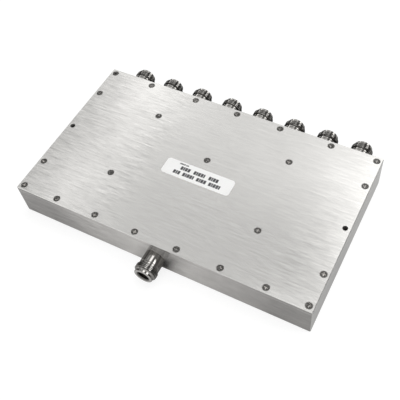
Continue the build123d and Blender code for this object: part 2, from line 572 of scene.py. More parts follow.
class Surface:
    """A new material, with its graph and its shader."""

    def __init__(self, name: str) -> None:
        """Makes a material with a single Principled shader.

        Args:
            name: the material's name.
        """
        self.material = bpy.data.materials.new(name)
        self.material.use_nodes = True
        self.graph = Graph(self.material.node_tree)
        self.shader = self.material.node_tree.nodes["Principled BSDF"]

    def set(self, **values: Source) -> None:
        """Feeds sockets of the shader, with _ for each space in a socket's name."""
        for name, source in values.items():
            self.graph.feed(self.shader.inputs[name.replace("_", " ")], source)

    def show(self, light: Socket) -> None:
        """Shows a mix of shaders in place of the Principled shader alone."""
        output = self.material.node_tree.nodes["Material Output"]
        self.graph.feed(output.inputs["Surface"], light)


@dataclass(frozen=True)
class Finish:
    """A material, which each kind of finish paints in its own way."""

    name: str

    def paint(self, surface: Surface, effects: Effects) -> None:
        """Feeds the shader. Each kind of finish has its own."""
        raise NotImplementedError

    def build(self, effects: Effects) -> Material:
        """Makes the material.

        Args:
            effects: the shared effects.

        Returns:
            The finished material.
        """
        surface = Surface(self.name)
        self.paint(surface, effects)
        return surface.material


@dataclass(frozen=True)
class BrushedAluminium(Finish):
    """Brushed aluminium: a pale broad face, duller sides, and painted shading on the sides."""

    face: Colour = (0.80, 0.79, 0.768)
    long_side: Colour = (0.80, 0.778, 0.752)
    short_side: Colour = (0.68, 0.67, 0.65)
    # Edges rubbed pale: wear, and also painted highlight where they rim the screws' countersinks.
    worn_and_highlight: Colour = (0.93, 0.92, 0.90)
    worn_share: float = 0.3
    worn_reach: float = 0.3 * MM
    metal_shares: Point = (0.80, 0.85)
    lines_across: float = 1600.0
    lines_along: float = 110.0
    streak_shade: Point = (0.77, 1.19)
    band_shade: Point = (0.997, 1.003)
    fresh_left: Point = (-0.030, -0.045)
    fresh_right: Point = (0.070, 0.090)
    smooth_share: float = 0.25
    right_share: float = 0.6
    # Painted shading on the long sides: lighter in the middle, darker towards their ends.
    long_painted_shading_span: Point = (0.015, 0.085)
    long_painted_shading: Point = (1.24, 0.62)
    blotch_scale: float = 55.0
    blotch_shade: Point = (0.94, 1.10)
    # Painted light on the short sides, paler towards the back.
    short_painted_light_span: Point = (-0.02, 0.06)
    short_painted_light: Point = (1.14, 1.46)
    mark_scale: float = 24.0
    mark_shade: Point = (1.01, 0.97)
    mark_roughness: float = 0.04
    roughness: Point = (0.15, 0.22)
    groove_depth: float = 0.003 * MM

    def freshness(self, graph: Graph, x: Socket) -> Socket:
        """How fresh the brushing is: full at the left, less at the right end, faint between.

        Args:
            graph: the material's nodes.
            x: the place along X.

        Returns:
            A share from 0 to 1.
        """
        left = graph.spread(x, self.fresh_left, (self.smooth_share, 1.0))
        right = graph.spread(x, self.fresh_right, (self.smooth_share, self.right_share))
        return graph.largest(left, right)

    def side_colour(self, graph: Graph, effects: Effects, place: Socket) -> Socket:
        """The colour of the four sides.

        Args:
            graph: the material's nodes.
            effects: the shared effects.
            place: the place on the piece.

        Returns:
            The colour, darker to the long sides' ends and paler to the back of the short sides, by
            painted shading.
        """
        blotches = graph.effect(effects.handling, Scale=self.blotch_scale)
        # Painted shading: the long sides are lighter in the middle and darker to their ends, with
        # random blotches.
        long_painted_shading = graph.times(
            graph.spread(graph.size(place, Way.X), self.long_painted_shading_span, self.long_painted_shading),
            graph.spread(blotches, RISING, self.blotch_shade),
        )
        # Painted light: the short sides grow paler towards the back.
        short_painted_light = graph.spread(graph.part(place, Way.Y), self.short_painted_light_span, self.short_painted_light)
        short = graph.above(graph.size(graph.facing(), Way.X), FACING)
        return graph.mix(
            short, graph.shade(self.long_side, long_painted_shading), graph.shade(self.short_side, short_painted_light)
        )

    def paint(self, surface: Surface, effects: Effects) -> None:
        """Feeds the shader.

        Args:
            surface: the new material.
            effects: the shared effects.
        """
        graph = surface.graph
        place = graph.places()
        lines = {"Across": self.lines_across, "Along": self.lines_along}
        brushing, bands = graph.place_effect(effects.brushing, **lines)
        fresh = self.freshness(graph, graph.part(place, Way.X))
        streaks = graph.plus(0.5, graph.times(graph.less(brushing, 0.5), fresh))
        broad = graph.above(graph.part(graph.facing(), Way.Z), FACING)
        colour = graph.mix(broad, self.side_colour(graph, effects, place), self.face)
        colour = graph.shade(colour, graph.spread(streaks, NOISE_CORE, self.streak_shade))
        colour = graph.shade(colour, graph.spread(bands, NOISE_CORE, self.band_shade))
        marks = graph.effect(effects.handling, Scale=self.mark_scale)
        colour = graph.shade(colour, graph.spread(marks, RISING, self.mark_shade))
        # Rubbed edges: wear, and also painted highlight at the screws' countersinks.
        worn_edges_and_highlight = graph.effect(effects.edge_wear, Reach=self.worn_reach)
        surface.set(
            Base_Color=graph.mix(graph.times(worn_edges_and_highlight, self.worn_share), colour, self.worn_and_highlight),
            Metallic=graph.spread(broad, RISING, self.metal_shares),
            Roughness=graph.plus(
                graph.spread(streaks, NOISE_CORE, self.roughness),
                graph.times(marks, self.mark_roughness),
            ),
            Normal=graph.bump(streaks, self.groove_depth),
        )


@dataclass(frozen=True)
class ScrewSteel(Finish):
    """Dark oiled steel, with painted shade and painted glints in the cross recess."""

    head_top: float
    # Painted shade deep in the cross recess.
    dark: Colour = (0.045, 0.043, 0.040)
    head: Colour = (0.11, 0.106, 0.10)
    # Pale steel for the painted glints in the recess and for the rubbed rims, partly wear and
    # partly painted highlight.
    rubbed: Colour = (0.93, 0.91, 0.88)
    recess: Point = (0.05 * MM, 0.3 * MM)
    worn_reach: float = 0.25 * MM
    painted_glint_scale: float = 420.0
    painted_glint_span: Point = (0.40, 0.50)
    metal_shares: Point = (0.9, 0.2)
    grain_scale: float = 2500.0
    grain_detail: float = 3.0
    roughness: Point = (0.24, 0.42)
    grain_depth: float = 0.004 * MM

    def paint(self, surface: Surface, effects: Effects) -> None:
        """Feeds the shader.

        Args:
            surface: the new material.
            effects: the shared effects.
        """
        graph = surface.graph
        place = graph.places()
        recess = tuple(self.head_top - depth for depth in self.recess)
        # Painted shade: the head grows darker deep in the cross recess.
        inside = graph.spread(graph.part(place, Way.Z), recess)
        grain = graph.noise(place, self.grain_scale, self.grain_detail)
        # Painted glints scattered in the recess.
        painted_glints = graph.spread(graph.noise(place, self.painted_glint_scale), self.painted_glint_span)
        worn_edges_and_highlight = graph.effect(effects.edge_wear, Reach=self.worn_reach)
        # Pale where painted glints lie in the recess and where the rims are rubbed, partly wear and
        # partly painted highlight.
        wear_and_painted_highlight = graph.largest(graph.times(inside, painted_glints), worn_edges_and_highlight)
        surface.set(
            Base_Color=graph.mix(wear_and_painted_highlight, graph.mix(inside, self.head, self.dark), self.rubbed),
            Metallic=graph.spread(wear_and_painted_highlight, RISING, self.metal_shares),
            Roughness=graph.spread(grain, NOISE_CORE, self.roughness),
            Normal=graph.bump(grain, self.grain_depth),
        )


@dataclass(frozen=True)
class NickelPlate(Finish):
    """Bright nickel on turned brass, with painted shade in the mouth and in the thread's roots."""

    name: str = "jack_nickel"
    bright: Colour = (0.34, 0.33, 0.315)
    # Painted shade in the thread's roots and in the mouth.
    film: Colour = (0.075, 0.071, 0.066)
    # Worn nickel, which also stands in for painted highlight on the edges and the nose.
    rubbed: Colour = (0.80, 0.78, 0.75)
    root_to_crest: Point = (7.55 * MM, 7.85 * MM)
    thread_begins: Point = (10.35 * MM, 10.45 * MM)
    thread_ends: Point = (14.2 * MM, 13.9 * MM)
    mouth_edge: Point = (4.85 * MM, 5.15 * MM)
    mouth_depth: Point = (16.48 * MM, 16.33 * MM)
    mouth_painted_shade: float = 0.75
    nose_from: Point = (16.3 * MM, 16.4 * MM)
    nose_wear_and_highlight: float = 0.6
    worn_reach: float = 0.3 * MM
    worn_share: float = 0.8
    mark_scale: float = 180.0
    painted_shade_marks: Point = (0.55, 1.0)
    rings: float = 2600.0
    ring_shade: Point = (0.94, 1.04)
    roughness: Point = (0.11, 0.20)
    painted_shade_roughness: float = 0.25
    ring_depth: float = 0.0015 * MM

    def painted_shade(self, graph: Graph, effects: Effects, place: Socket) -> Socket:
        """How much painted shade there is, in the thread's roots and in the mouth.

        Args:
            graph: the material's nodes.
            effects: the shared effects.
            place: the place on the body.

        Returns:
            A share from 0 to 1.
        """
        reach, radius = graph.part(place, Way.Z), graph.radius(place)
        marks = graph.effect(effects.handling, Scale=self.mark_scale)
        # Painted shade in the thread's roots, varied by random marks.
        roots = graph.times(
            graph.spread(radius, self.root_to_crest, FALLING),
            graph.spread(reach, self.thread_begins),
            graph.spread(reach, self.thread_ends),
            graph.spread(marks, RISING, self.painted_shade_marks),
        )
        # Painted shade inside the mouth.
        mouth = graph.times(
            graph.spread(radius, self.mouth_edge, FALLING),
            graph.spread(reach, self.mouth_depth),
            self.mouth_painted_shade,
        )
        return graph.largest(roots, mouth)

    def paint(self, surface: Surface, effects: Effects) -> None:
        """Feeds the shader.

        Args:
            surface: the new material.
            effects: the shared effects.
        """
        graph = surface.graph
        place = graph.places()
        rings = graph.effect(effects.turning, Rings=self.rings)
        painted_shade = self.painted_shade(graph, effects, place)
        worn_edges_and_highlight = graph.effect(effects.edge_wear, Reach=self.worn_reach)
        # The nose is lightened partly by wear and partly by painted highlight.
        nose = graph.spread(graph.part(place, Way.Z), self.nose_from, (0.0, self.nose_wear_and_highlight))
        wear_and_painted_highlight = graph.largest(graph.times(worn_edges_and_highlight, self.worn_share), nose)
        nickel = graph.mix(wear_and_painted_highlight, self.bright, self.rubbed)
        nickel = graph.shade(nickel, graph.spread(rings, NOISE_CORE, self.ring_shade))
        surface.set(
            Base_Color=graph.mix(painted_shade, nickel, self.film),
            Metallic=1.0,
            Roughness=graph.plus(
                graph.spread(rings, NOISE_CORE, self.roughness),
                graph.times(painted_shade, self.painted_shade_roughness),
            ),
            Normal=graph.bump(rings, self.ring_depth),
        )


@dataclass(frozen=True)
class CloudyFinish(Finish):
    """Two tones in soft clouds, with a fine grain."""

    clear: Colour
    cloudy: Colour
    cloud_scale: float
    grain_scale: Triple
    roughness: Point
    cloud_share: float = 1.0
    metallic: float = 0.0
    grain_detail: float = 2.0
    grain_depth: float = 0.004 * MM

    def paint(self, surface: Surface, effects: Effects) -> None:
        """Feeds the shader.

        Args:
            surface: the new material.
            effects: the shared effects.
        """
        graph = surface.graph
        place = graph.places()
        clouds = graph.effect(effects.handling, Scale=self.cloud_scale)
        stretched = [
            graph.times(graph.part(place, way), scale) if scale else 0.0
            for way, scale in zip(Way, self.grain_scale)
        ]
        grain = graph.noise(graph.vector(*stretched), detail=self.grain_detail)
        surface.set(
            Base_Color=graph.mix(graph.times(clouds, self.cloud_share), self.clear, self.cloudy),
            Metallic=self.metallic,
            Roughness=graph.spread(grain, NOISE_CORE, self.roughness),
            Normal=graph.bump(grain, self.grain_depth),
        )


@dataclass(frozen=True)
class ContactPlate(CloudyFinish):
    """Thin pale gold on the spring contacts."""

    name: str = "contact_gold"
    clear: Colour = (0.90, 0.78, 0.52)
    cloudy: Colour = (0.78, 0.60, 0.30)
    cloud_scale: float = 420.0
    grain_scale: Triple = (0.0, 3200.0, 0.0)
    roughness: Point = (0.16, 0.30)
    metallic: float = 1.0
    grain_depth: float = 0.0012 * MM


@dataclass(frozen=True)
class TurnedPtfe(CloudyFinish):
    """Milky turned fluoropolymer."""

    name: str = "insulator_ptfe"
    clear: Colour = (0.90, 0.90, 0.88)
    cloudy: Colour = (0.82, 0.82, 0.79)
    cloud_scale: float = 300.0
    grain_scale: Triple = (500.0, 2800.0, 500.0)
    roughness: Point = (0.42, 0.60)


@dataclass(frozen=True)
class LabelPaper(CloudyFinish):
    """Satin white label film."""

    name: str = "label_white"
    clear: Colour = (0.865, 0.865, 0.855)
    cloudy: Colour = (0.83, 0.825, 0.81)
    cloud_scale: float = 70.0
    grain_scale: Triple = (3500.0, 3500.0, 3500.0)
    roughness: Point = (0.38, 0.52)
    cloud_share: float = 0.6
    grain_detail: float = 3.0


@dataclass(frozen=True)
class PrintInk(Finish):
    """Black print with thin places."""

    name: str = "label_ink"
    full: Colour = (0.022, 0.022, 0.024)
    thin: Colour = (0.10, 0.10, 0.105)
    mark_scale: float = 900.0
    roughness: Point = (0.45, 0.60)

    def paint(self, surface: Surface, effects: Effects) -> None:
        """Feeds the shader.

        Args:
            surface: the new material.
            effects: the shared effects.
        """
        graph = surface.graph
        marks = graph.effect(effects.handling, Scale=self.mark_scale)
        surface.set(
            Base_Color=graph.mix(marks, self.full, self.thin),
            Metallic=0.0,
            Roughness=graph.spread(marks, RISING, self.roughness),
        )


@dataclass(frozen=True)
class GlassLaminate(Finish):
    """Fluoropolymer laminate whose glass cloth shows through."""

    name: str = "divider_laminate"
    resin: Colour = (0.74, 0.69, 0.56)
    thread: Colour = (0.84, 0.80, 0.69)
    threads: float = 1500.0
    mark_scale: float = 40.0
    mark_shade: Point = (1.0, 0.92)
    roughness: Point = (0.55, 0.40)
    weave_depth: float = 0.02 * MM

    def paint(self, surface: Surface, effects: Effects) -> None:
        """Feeds the shader.

        Args:
            surface: the new material.
            effects: the shared effects.
        """
        graph = surface.graph
        weave = graph.effect(effects.glass_cloth, Threads=self.threads)
        marks = graph.effect(effects.handling, Scale=self.mark_scale)
        colour = graph.mix(weave, self.resin, self.thread)
        surface.set(
            Base_Color=graph.shade(colour, graph.spread(marks, RISING, self.mark_shade)),
            Metallic=0.0,
            Roughness=graph.spread(weave, RISING, self.roughness),
            Normal=graph.bump(weave, self.weave_depth),
        )


@dataclass(frozen=True)
class EtchedCopper(Finish):
    """Rolled copper foil, a little tarnished."""

    name: str = "divider_copper"
    fresh: Colour = (0.86, 0.50, 0.33)
    tarnished: Colour = (0.55, 0.29, 0.18)
    tarnish_scale: float = 90.0
    tarnish_share: float = 0.7
    lines_across: float = 2600.0
    lines_along: float = 120.0
    line_shade: Point = (0.92, 1.05)
    roughness: Point = (0.25, 0.42)
    line_depth: float = 0.004 * MM

    def paint(self, surface: Surface, effects: Effects) -> None:
        """Feeds the shader.

        Args:
            surface: the new material.
            effects: the shared effects.
        """
        graph = surface.graph
        rolling = graph.effect(effects.brushing, Across=self.lines_across, Along=self.lines_along)
        marks = graph.effect(effects.handling, Scale=self.tarnish_scale)
        colour = graph.mix(graph.times(marks, self.tarnish_share), self.fresh, self.tarnished)
        surface.set(
            Base_Color=graph.shade(colour, graph.spread(rolling, NOISE_CORE, self.line_shade)),
            Metallic=1.0,
            Roughness=graph.spread(rolling, NOISE_CORE, self.roughness),
            Normal=graph.bump(rolling, self.line_depth),
        )


@dataclass(frozen=True)
class ChipCeramic(Finish):
    """A chip resistor: dark glaze with a tinned band at each end."""

    name: str = "chip_ceramic"
    glaze: Colour = (0.030, 0.031, 0.034)
    tin: Colour = (0.66, 0.66, 0.65)
    band_from: float = 0.32
    edge_waver: float = 0.012
    mark_scale: float = 1500.0
    roughness: Point = (0.28, 0.45)
    mark_depth: float = 0.01 * MM

    def paint(self, surface: Surface, effects: Effects) -> None:
        """Feeds the shader.

        Args:
            surface: the new material.
            effects: the shared effects.
        """
        graph = surface.graph
        from_middle = graph.distance(graph.share_of_box(), Way.X, 0.5)
        marks = graph.effect(effects.handling, Scale=self.mark_scale)
        uneven = graph.plus(from_middle, graph.times(marks, self.edge_waver))
        band = graph.above(uneven, self.band_from)
        surface.set(
            Base_Color=graph.mix(band, self.glaze, self.tin),
            Metallic=band,
            Roughness=graph.spread(marks, RISING, self.roughness),
            Normal=graph.bump(marks, self.mark_depth),
        )


def dress(names: Iterable[str], material: Material) -> None:
    """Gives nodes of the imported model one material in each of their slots.

    Args:
        names: the nodes' names.
        material: their finish.
    """
    for name in names:
        for slot in frame["nodes"][name].material_slots:
            slot.material = material
        log.info("%s dressed", name)


def add_object(name: str, data: bpy.types.ID) -> Piece:
    """Adds an object to the scene.

    Args:
        name: its name.
        data: its mesh, lamp or camera.

    Returns:
        The new object.
    """
    thing = bpy.data.objects.new(name, data)
    bpy.context.scene.collection.objects.link(thing)
    log.info("%s added", name)
    return thing


def new_piece(name: str, mesh: bpy.types.Mesh, material: Material) -> Piece:
    """Adds a piece made of its own mesh.

    Args:
        name: the piece's name.
        mesh: its shape.
        material: its finish.

    Returns:
        The new object.
    """
    if not mesh.materials:
        mesh.materials.append(material)
    return add_object(name, mesh)


def softened(corners: Sequence[Point], radius: float, largest_share: float = 0.3) -> list[Point]:
    """Cuts each corner of a closed outline by a small flat.

    Args:
        corners: the outline's corners in order.
        radius: how far from its corner each flat begins and ends.
        largest_share: how much of an edge a flat may take.

    Returns:
        The outline with two points for each corner.
    """
    result: list[Point] = []
    for index, corner in enumerate(corners):
        here = Vector(corner)
        for other in (corners[index - 1], corners[(index + 1) % len(corners)]):
            way = Vector(other) - here
            step = min(radius, largest_share * way.length)
            result.append(tuple(here + way.normalized() * step))
    return result


@dataclass
class JackShape:
    """The body of a jack of N size, turned about its own Z axis, with a true thread.

    Heights run outwards from the outer face of the wall that the jack stands on.
    """

    spigot_end: float = -8.0 * MM
    spigot_radius: float = 6.0 * MM
    barrel_radius: float = 7.15 * MM
    barrel_end: float = 9.3 * MM
    groove_start: float = 7.75 * MM
    groove_end: float = 8.3 * MM
    groove_radius: float = 6.85 * MM
    groove_slope: float = 0.2 * MM
    relief_radius: float = 6.7 * MM
    thread_start: float = 10.0 * MM
    thread_end: float = 14.8 * MM
    thread_radius: float = 7.94 * MM
    thread_chamfer: float = 0.5 * MM
    pitch: float = 25.4 * MM / 24
    depth_in_pitches: float = 0.6134
    crest_share: float = 0.17
    root_share: float = 0.44
    flank_shares: tuple[float, ...] = (0.0, 0.17, 0.305, 0.44, 0.56, 0.695, 0.83)
    rim_radius: float = 6.7 * MM
    nose: float = 16.5 * MM
    rim_round: float = 0.35 * MM
    mouth_radius: float = 4.06 * MM
    mouth_chamfer: float = 0.8 * MM
    mouth_floor: float = 7.4 * MM
    seat_radius: float = 3.53 * MM
    seat_shoulder: float = -4.0 * MM
    tail_bore_radius: float = 2.33 * MM
    edge_softness: float = 0.09 * MM
    segments: int = 96
    weld_distance: float = 0.0005 * MM
    sharp_deg: float = 20.0

    def envelope(self, height: float) -> float:
        """The largest radius that the threaded length may have at a height.

        Args:
            height: the height above the wall.

        Returns:
            The radius, less at both ends.
        """
        lead = self.thread_radius - self.thread_chamfer + (height - self.thread_start)
        taper = self.rim_radius + (self.thread_end - height)
        return min(self.thread_radius, lead, taper)

    def thread_profile(self, share: float) -> float:
        """The radius of a 60 degree thread with flat crests and roots.

        Args:
            share: the share of one pitch, with the crest at 0 and the root at half.

        Returns:
            The radius.
        """
        distance = abs(share - round(share))
        crest, root = self.crest_share, self.root_share
        drop = min(max((distance - crest) / (root - crest), 0.0), 1.0)
        return self.thread_radius - drop * self.depth_in_pitches * self.pitch

    def back_rows(self) -> list[Point]:
        """Outlines the part behind the thread.

        Returns:
            Radius and height of each ring, from the seat's shoulder round the spigot.
        """
        return [
            (self.tail_bore_radius, self.seat_shoulder),
            (self.tail_bore_radius, self.spigot_end),
            (self.spigot_radius, self.spigot_end),
            (self.spigot_radius, 0.0),
            (self.barrel_radius, 0.0),
            (self.barrel_radius, self.groove_start),
            (self.groove_radius, self.groove_start + self.groove_slope),
            (self.groove_radius, self.groove_end - self.groove_slope),
            (self.barrel_radius, self.groove_end),
            (self.barrel_radius, self.barrel_end),
            (self.relief_radius, self.barrel_end),
            (self.relief_radius, self.thread_start),
        ]

    def front_rows(self) -> list[Point]:
        """Outlines the part in front of the thread.

        Returns:
            Radius and height of each ring, round the rim and into the mouth.
        """
        return [
            (self.rim_radius, self.nose - self.rim_round),
            (self.rim_radius - self.rim_round, self.nose),
            (self.mouth_radius + self.mouth_chamfer, self.nose),
            (self.mouth_radius, self.nose - self.mouth_chamfer),
            (self.mouth_radius, self.mouth_floor),
            (self.seat_radius, self.mouth_floor),
            (self.seat_radius, self.seat_shoulder),
        ]

    def thread_ring(self, turn: int, share: float) -> list[Vector]:
        """One line of points along the helix, a full turn long.

        Args:
            turn: the number of whole turns before it.
            share: its place within the pitch.

        Returns:
            One point for each segment.
        """
        points = []
        for index in range(self.segments):
            part = index / self.segments
            height = self.thread_start + self.pitch * (turn + share + part)
            held = min(max(height, self.thread_start), self.thread_end)
            radius = self.envelope(held)
            if held == height:
                radius = min(radius, self.thread_profile(share))
            angle = math.tau * part
            points.append(Vector((radius * math.cos(angle), radius * math.sin(angle), held)))
        return points

    def plain_ring(self, radius: float, height: float) -> list[Vector]:
        """A round ring of points."""
        angles = [math.tau * index / self.segments for index in range(self.segments)]
        return [Vector((radius * math.cos(a), radius * math.sin(a), height)) for a in angles]

    def next_turn(self, row: int, first: int, last: int) -> int:
        """The row that a ring runs into after a full turn.

        Args:
            row: the ring's row.
            first: the first row of the helix.
            last: its last row.

        Returns:
            The same row for a plain ring, and the one a turn further on the helix.
        """
        if not first <= row <= last:
            return row
        return min(row + len(self.flank_shares), last)

    def make_mesh(self, name: str) -> bpy.types.Mesh:
        """Builds the body as one closed mesh.

        Args:
            name: the mesh's name.

        Returns:
            The mesh.
        """
        outline = softened(self.back_rows() + self.front_rows(), self.edge_softness)
        back_count = 2 * len(self.back_rows())
        turns = math.ceil((self.thread_end - self.thread_start) / self.pitch) + 1
        helix = [(turn, share) for turn in range(-1, turns) for share in self.flank_shares]
        rings = [self.plain_ring(*row) for row in outline[:back_count]]
        first = len(rings)
        rings += [self.thread_ring(turn, share) for turn, share in helix]
        last = len(rings) - 1
        rings += [self.plain_ring(*row) for row in outline[back_count:]]
        sculpt = bmesh.new()
        grid = [[sculpt.verts.new(point) for point in ring] for ring in rings]
        for row in range(len(grid)):
            above = (row + 1) % len(grid)
            for column in range(self.segments):
                beside = (column + 1) % self.segments
                here_next, above_next = row, above
                if beside == 0:
                    here_next = self.next_turn(row, first, last)
                    above_next = self.next_turn(above, first, last)
                corners = (
                    grid[row][column],
                    grid[here_next][beside],
                    grid[above_next][beside],
                    grid[above][column],
                )
                sculpt.faces.new(dict.fromkeys(corners))
        bmesh.ops.remove_doubles(sculpt, verts=sculpt.verts, dist=self.weld_distance)
        bmesh.ops.dissolve_degenerate(sculpt, edges=sculpt.edges, dist=self.weld_distance)
        bmesh.ops.recalc_face_normals(sculpt, faces=sculpt.faces)
        open_edges = sum(1 for edge in sculpt.edges if not edge.is_manifold)
        log.info("%s: %d faces, %d open edges", name, len(sculpt.faces), open_edges)
        mesh = bpy.data.meshes.new(name)
        sculpt.to_mesh(mesh)
        sculpt.free()
        mesh.shade_smooth()
        mesh.set_sharp_from_angle(angle=math.radians(self.sharp_deg))
        return mesh


@dataclass
class Jack:
    """One jack: its threaded body, its insulator and its spring contact."""

    name: str
    place: Vector
    side: Side
    turn_deg: float

    def build(self, mesh: bpy.types.Mesh, finishes: Finishes) -> Piece:
        """Adds the body and dresses the pieces inside it.

        Args:
            mesh: the body's shape, which all the jacks share.
            finishes: the finishes by the record's slot names.

        Returns:
            The body.
        """
        body = new_piece(f"{self.name}_threaded_body", mesh, finishes["jack_plating"])
        outwards = Vector((0.0, self.side.value, 0.0)).to_track_quat("Z", "X").to_matrix().to_4x4()
        spin = Matrix.Rotation(math.radians(self.turn_deg), 4, "Z")
        body.matrix_world = Matrix.Translation(self.place) @ outwards @ spin
        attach(body, ROOT)
        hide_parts(f"{self.name}_body")
        dress([f"{self.name}_insulator"], finishes["insulator_white"])
        dress([f"{self.name}_contact"], finishes["contact_plating"])
        return body


@dataclass
class JackSet:
    """The input jack and the row of output jacks, placed by the record's thread mounts."""

    shape: JackShape = field(default_factory=JackShape)
    turn_step_deg: float = 47.0

    def jacks(self) -> Iterable[Jack]:
        """Reads the place and side of each jack from its thread's mount.

        Returns:
            The jacks, the input first.
        """
        low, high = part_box("housing")
        walls = {Side.FRONT: low.y, Side.BACK: high.y}
        threads = [m for m in frame["record"]["mounts"] if "thread" in m["name"]]
        for index, mount in enumerate(threads):
            side = Side(round(mount["axis"][1]))
            x, _, z = mount["pos_m"]
            name = mount["name"].replace("thread", "jack")
            yield Jack(name, Vector((x, walls[side], z)), side, index * self.turn_step_deg)

    def build(self, finishes: Finishes) -> list[Piece]:
        """Builds every jack from one shared mesh.

        Args:
            finishes: the finishes by the record's slot names.

        Returns:
            The jacks' bodies.
        """
        mesh = self.shape.make_mesh("jack_body")
        return [jack.build(mesh, finishes) for jack in self.jacks()]


@dataclass
class Enclosure:
    """The housing, the cover and their screws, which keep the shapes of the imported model."""

    nodes: tuple[str, ...] = ("housing", "cover", "cover_screws", "board_screws")

    def dress(self, finishes: Finishes) -> None:
        """Dresses the metal parts of the box by their node names."""
        for name in self.nodes:
            dress([name], finishes[name])


@dataclass
class DividerCircuit:
    """The board, its copper and its resistors, inside the closed box."""

    slots: tuple[str, ...] = ("circuit_laminate", "circuit_copper", "resistor_ceramic")

    def dress(self, finishes: Finishes) -> None:
        """Dresses each node of the circuit by its slot in the record.

        Args:
            finishes: the finishes by the record's slot names.
        """
        parts = frame["record"]["subparts"]
        for slot in self.slots:
            nodes = [part["node"] for part in parts if part["material_slot"] == slot]
            dress(nodes, finishes[slot])


@dataclass(frozen=True)
class PrintedRow:
    """A row of plain upright bars in groups. It says nothing."""

    groups: tuple[int, ...]
    group_gap: float
    middle_x: float
    middle_y: float
    bar_height: float = 3.0 * MM
    bar_width: float = 1.75 * MM
    bar_gap: float = 0.33 * MM
    thin_share: float = 0.6
    thin_every: int = 3

    def bars(self) -> list[Point]:
        """Spaces the bars along the row.

        Returns:
            The middle and the width of each bar.
        """
        bars: list[Point] = []
        place = 0.0
        for group in self.groups:
            for index in range(group):
                thin = index % self.thin_every == 1
                width = self.bar_width * (self.thin_share if thin else 1.0)
                bars.append((place + width / 2, width))
                place += width + self.bar_gap
            place += self.group_gap
        length = place - self.group_gap - self.bar_gap
        return [(self.middle_x + middle - length / 2, width) for middle, width in bars]


@dataclass
class Label:
    """A rounded white film with rows of plain bars in place of words."""

    corner_radius: float = 2.4 * MM
    corner_steps: int = 10
    ink_thickness: float = 0.012 * MM
    edge_softness: float = 0.03 * MM
    ink_corner: float = 0.12 * MM
    rows: tuple[PrintedRow, ...] = (
        PrintedRow((3, 5, 4, 5), 1.9 * MM, 0.45 * MM, -2.8 * MM),
        PrintedRow((4, 5, 4), 2.7 * MM, 0.55 * MM, 1.6 * MM),
        PrintedRow((6, 3), 0.5 * MM, -13.0 * MM, 4.9 * MM, 1.2 * MM, 0.65 * MM, 0.15 * MM),
    )

    def rounded_outline(self, width: float, depth: float, radius: float) -> list[Point]:
        """The outline of a rectangle with round corners, about the middle.

        Args:
            width: its size along X.
            depth: its size along Y.
            radius: the radius of its corners.

        Returns:
            The points in order, anticlockwise.
        """
        points = []
        for quarter, (side_x, side_y) in enumerate(((1, 1), (-1, 1), (-1, -1), (1, -1))):
            centre = Vector((side_x * (width / 2 - radius), side_y * (depth / 2 - radius)))
            for step in range(self.corner_steps + 1):
                angle = (quarter + step / self.corner_steps) * math.pi / 2
                points.append(tuple(centre + radius * Vector((math.cos(angle), math.sin(angle)))))
        return points

    def add_plate(
        self, sculpt: bmesh.types.BMesh, outline: Sequence[Point], middle: Point, levels: Point
    ) -> None:
        """Adds a thin plate with a softened upper edge.

        Args:
            sculpt: the mesh under construction.
            outline: the plate's outline about its middle.
            middle: where its middle lies.
            levels: its lower and upper level.
        """
        low, high = levels
        softness = min(self.edge_softness, (high - low) / 3)
        half = [max(point[way] for point in outline) for way in (0, 1)]
        shrunk = [(size - softness) / size for size in half]
        rings = []
        for level, scale in ((low, (1.0, 1.0)), (high - softness, (1.0, 1.0)), (high, shrunk)):
            places = [
                (middle[0] + x * scale[0], middle[1] + y * scale[1], level) for x, y in outline
            ]
            rings.append([sculpt.verts.new(place) for place in places])
        count = len(outline)
        for lower, upper in zip(rings, rings[1:]):
            for index in range(count):
                after = (index + 1) % count
                sculpt.faces.new((lower[index], lower[after], upper[after], upper[index]))
        sculpt.faces.new(list(reversed(rings[0])))
        sculpt.faces.new(rings[-1])

    def add_layer(
        self,
        name: str,
        plates: Iterable[tuple[list[Point], Point]],
        levels: Point,
        material: Material,
    ) -> Piece:
        """Adds a piece made of thin plates that lie side by side.

        Args:
            name: the piece's name.
            plates: the outline and the middle of each plate.
            levels: their lower and upper level.
            material: their finish.

        Returns:
            The new object.
        """
        sculpt = bmesh.new()
        for outline, middle in plates:
            self.add_plate(sculpt, outline, middle, levels)
        mesh = bpy.data.meshes.new(name)
        sculpt.to_mesh(mesh)
        sculpt.free()
        piece = new_piece(name, mesh, material)
        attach(piece, ROOT)
        return piece

    def printed_bars(self, middle: Vector) -> Iterable[tuple[list[Point], Point]]:
        """Reads the bars of every row.

        Args:
            middle: the label's middle.

        Returns:
            The outline and the middle of each bar.
        """
        for row in self.rows:
            corner = min(self.ink_corner, row.bar_width * row.thin_share / 3)
            for place, width in row.bars():
                bar = self.rounded_outline(width, row.bar_height, corner)
                yield bar, (middle.x + place, middle.y + row.middle_y)

    def build(self, film: Material, ink: Material) -> None:
        """Adds the film and its print.

        Args:
            film: the film's finish.
            ink: the print's finish.
        """
        low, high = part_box("label")
        middle = (low + high) / 2
        film_top = high.z - self.ink_thickness
        outline = self.rounded_outline(high.x - low.x, high.y - low.y, self.corner_radius)
        plates = [(outline, (middle.x, middle.y))]
        film_piece = self.add_layer("label_film", plates, (low.z, film_top), film)
        self.add_layer("label_print", self.printed_bars(middle), (film_top, high.z), ink)
        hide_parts("label")


